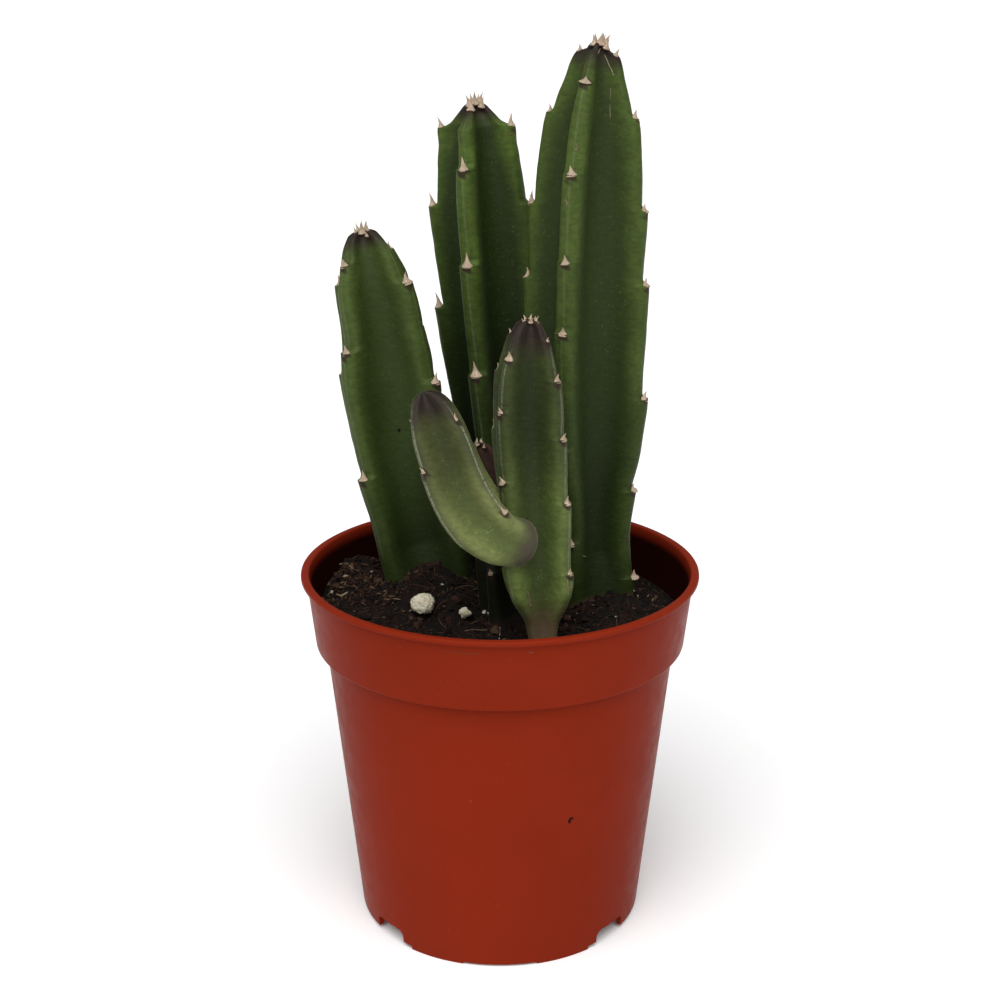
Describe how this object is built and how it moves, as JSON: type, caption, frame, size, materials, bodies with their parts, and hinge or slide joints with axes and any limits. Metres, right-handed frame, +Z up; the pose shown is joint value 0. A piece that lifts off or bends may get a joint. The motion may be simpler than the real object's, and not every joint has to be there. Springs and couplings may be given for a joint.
{
  "type": "potted stapelia",
  "caption": "Young succulent with upright ribbed and soft-toothed stems and a curved side branch, standing in peat in a round tapered nursery pot with a collar.",
  "frame": {"origin": "on the pot's axis at the level of the surface that it stands on", "axes": "+Z up along the pot's axis; -Y towards the front of the plant as pictured; +X to its right"},
  "size_m": [0.085, 0.085, 0.1879],
  "materials": {
    "pot": "satin",
    "soil": "matte",
    "perlite_large": "matte",
    "perlite_small": "matte",
    "stem_tall": "satin",
    "stem_back": "satin",
    "stem_left": "satin",
    "stem_front": "satin",
    "stem_short": "satin"
  },
  "bodies": {
    "root": {"pot": "pot", "soil": "soil", "perlite_large": "perlite_large", "perlite_small": "perlite_small", "stem_tall": "stem_tall", "stem_back": "stem_back", "stem_left": "stem_left", "stem_front": "stem_front", "stem_short": "stem_short"}
  },
  "joints": []
}
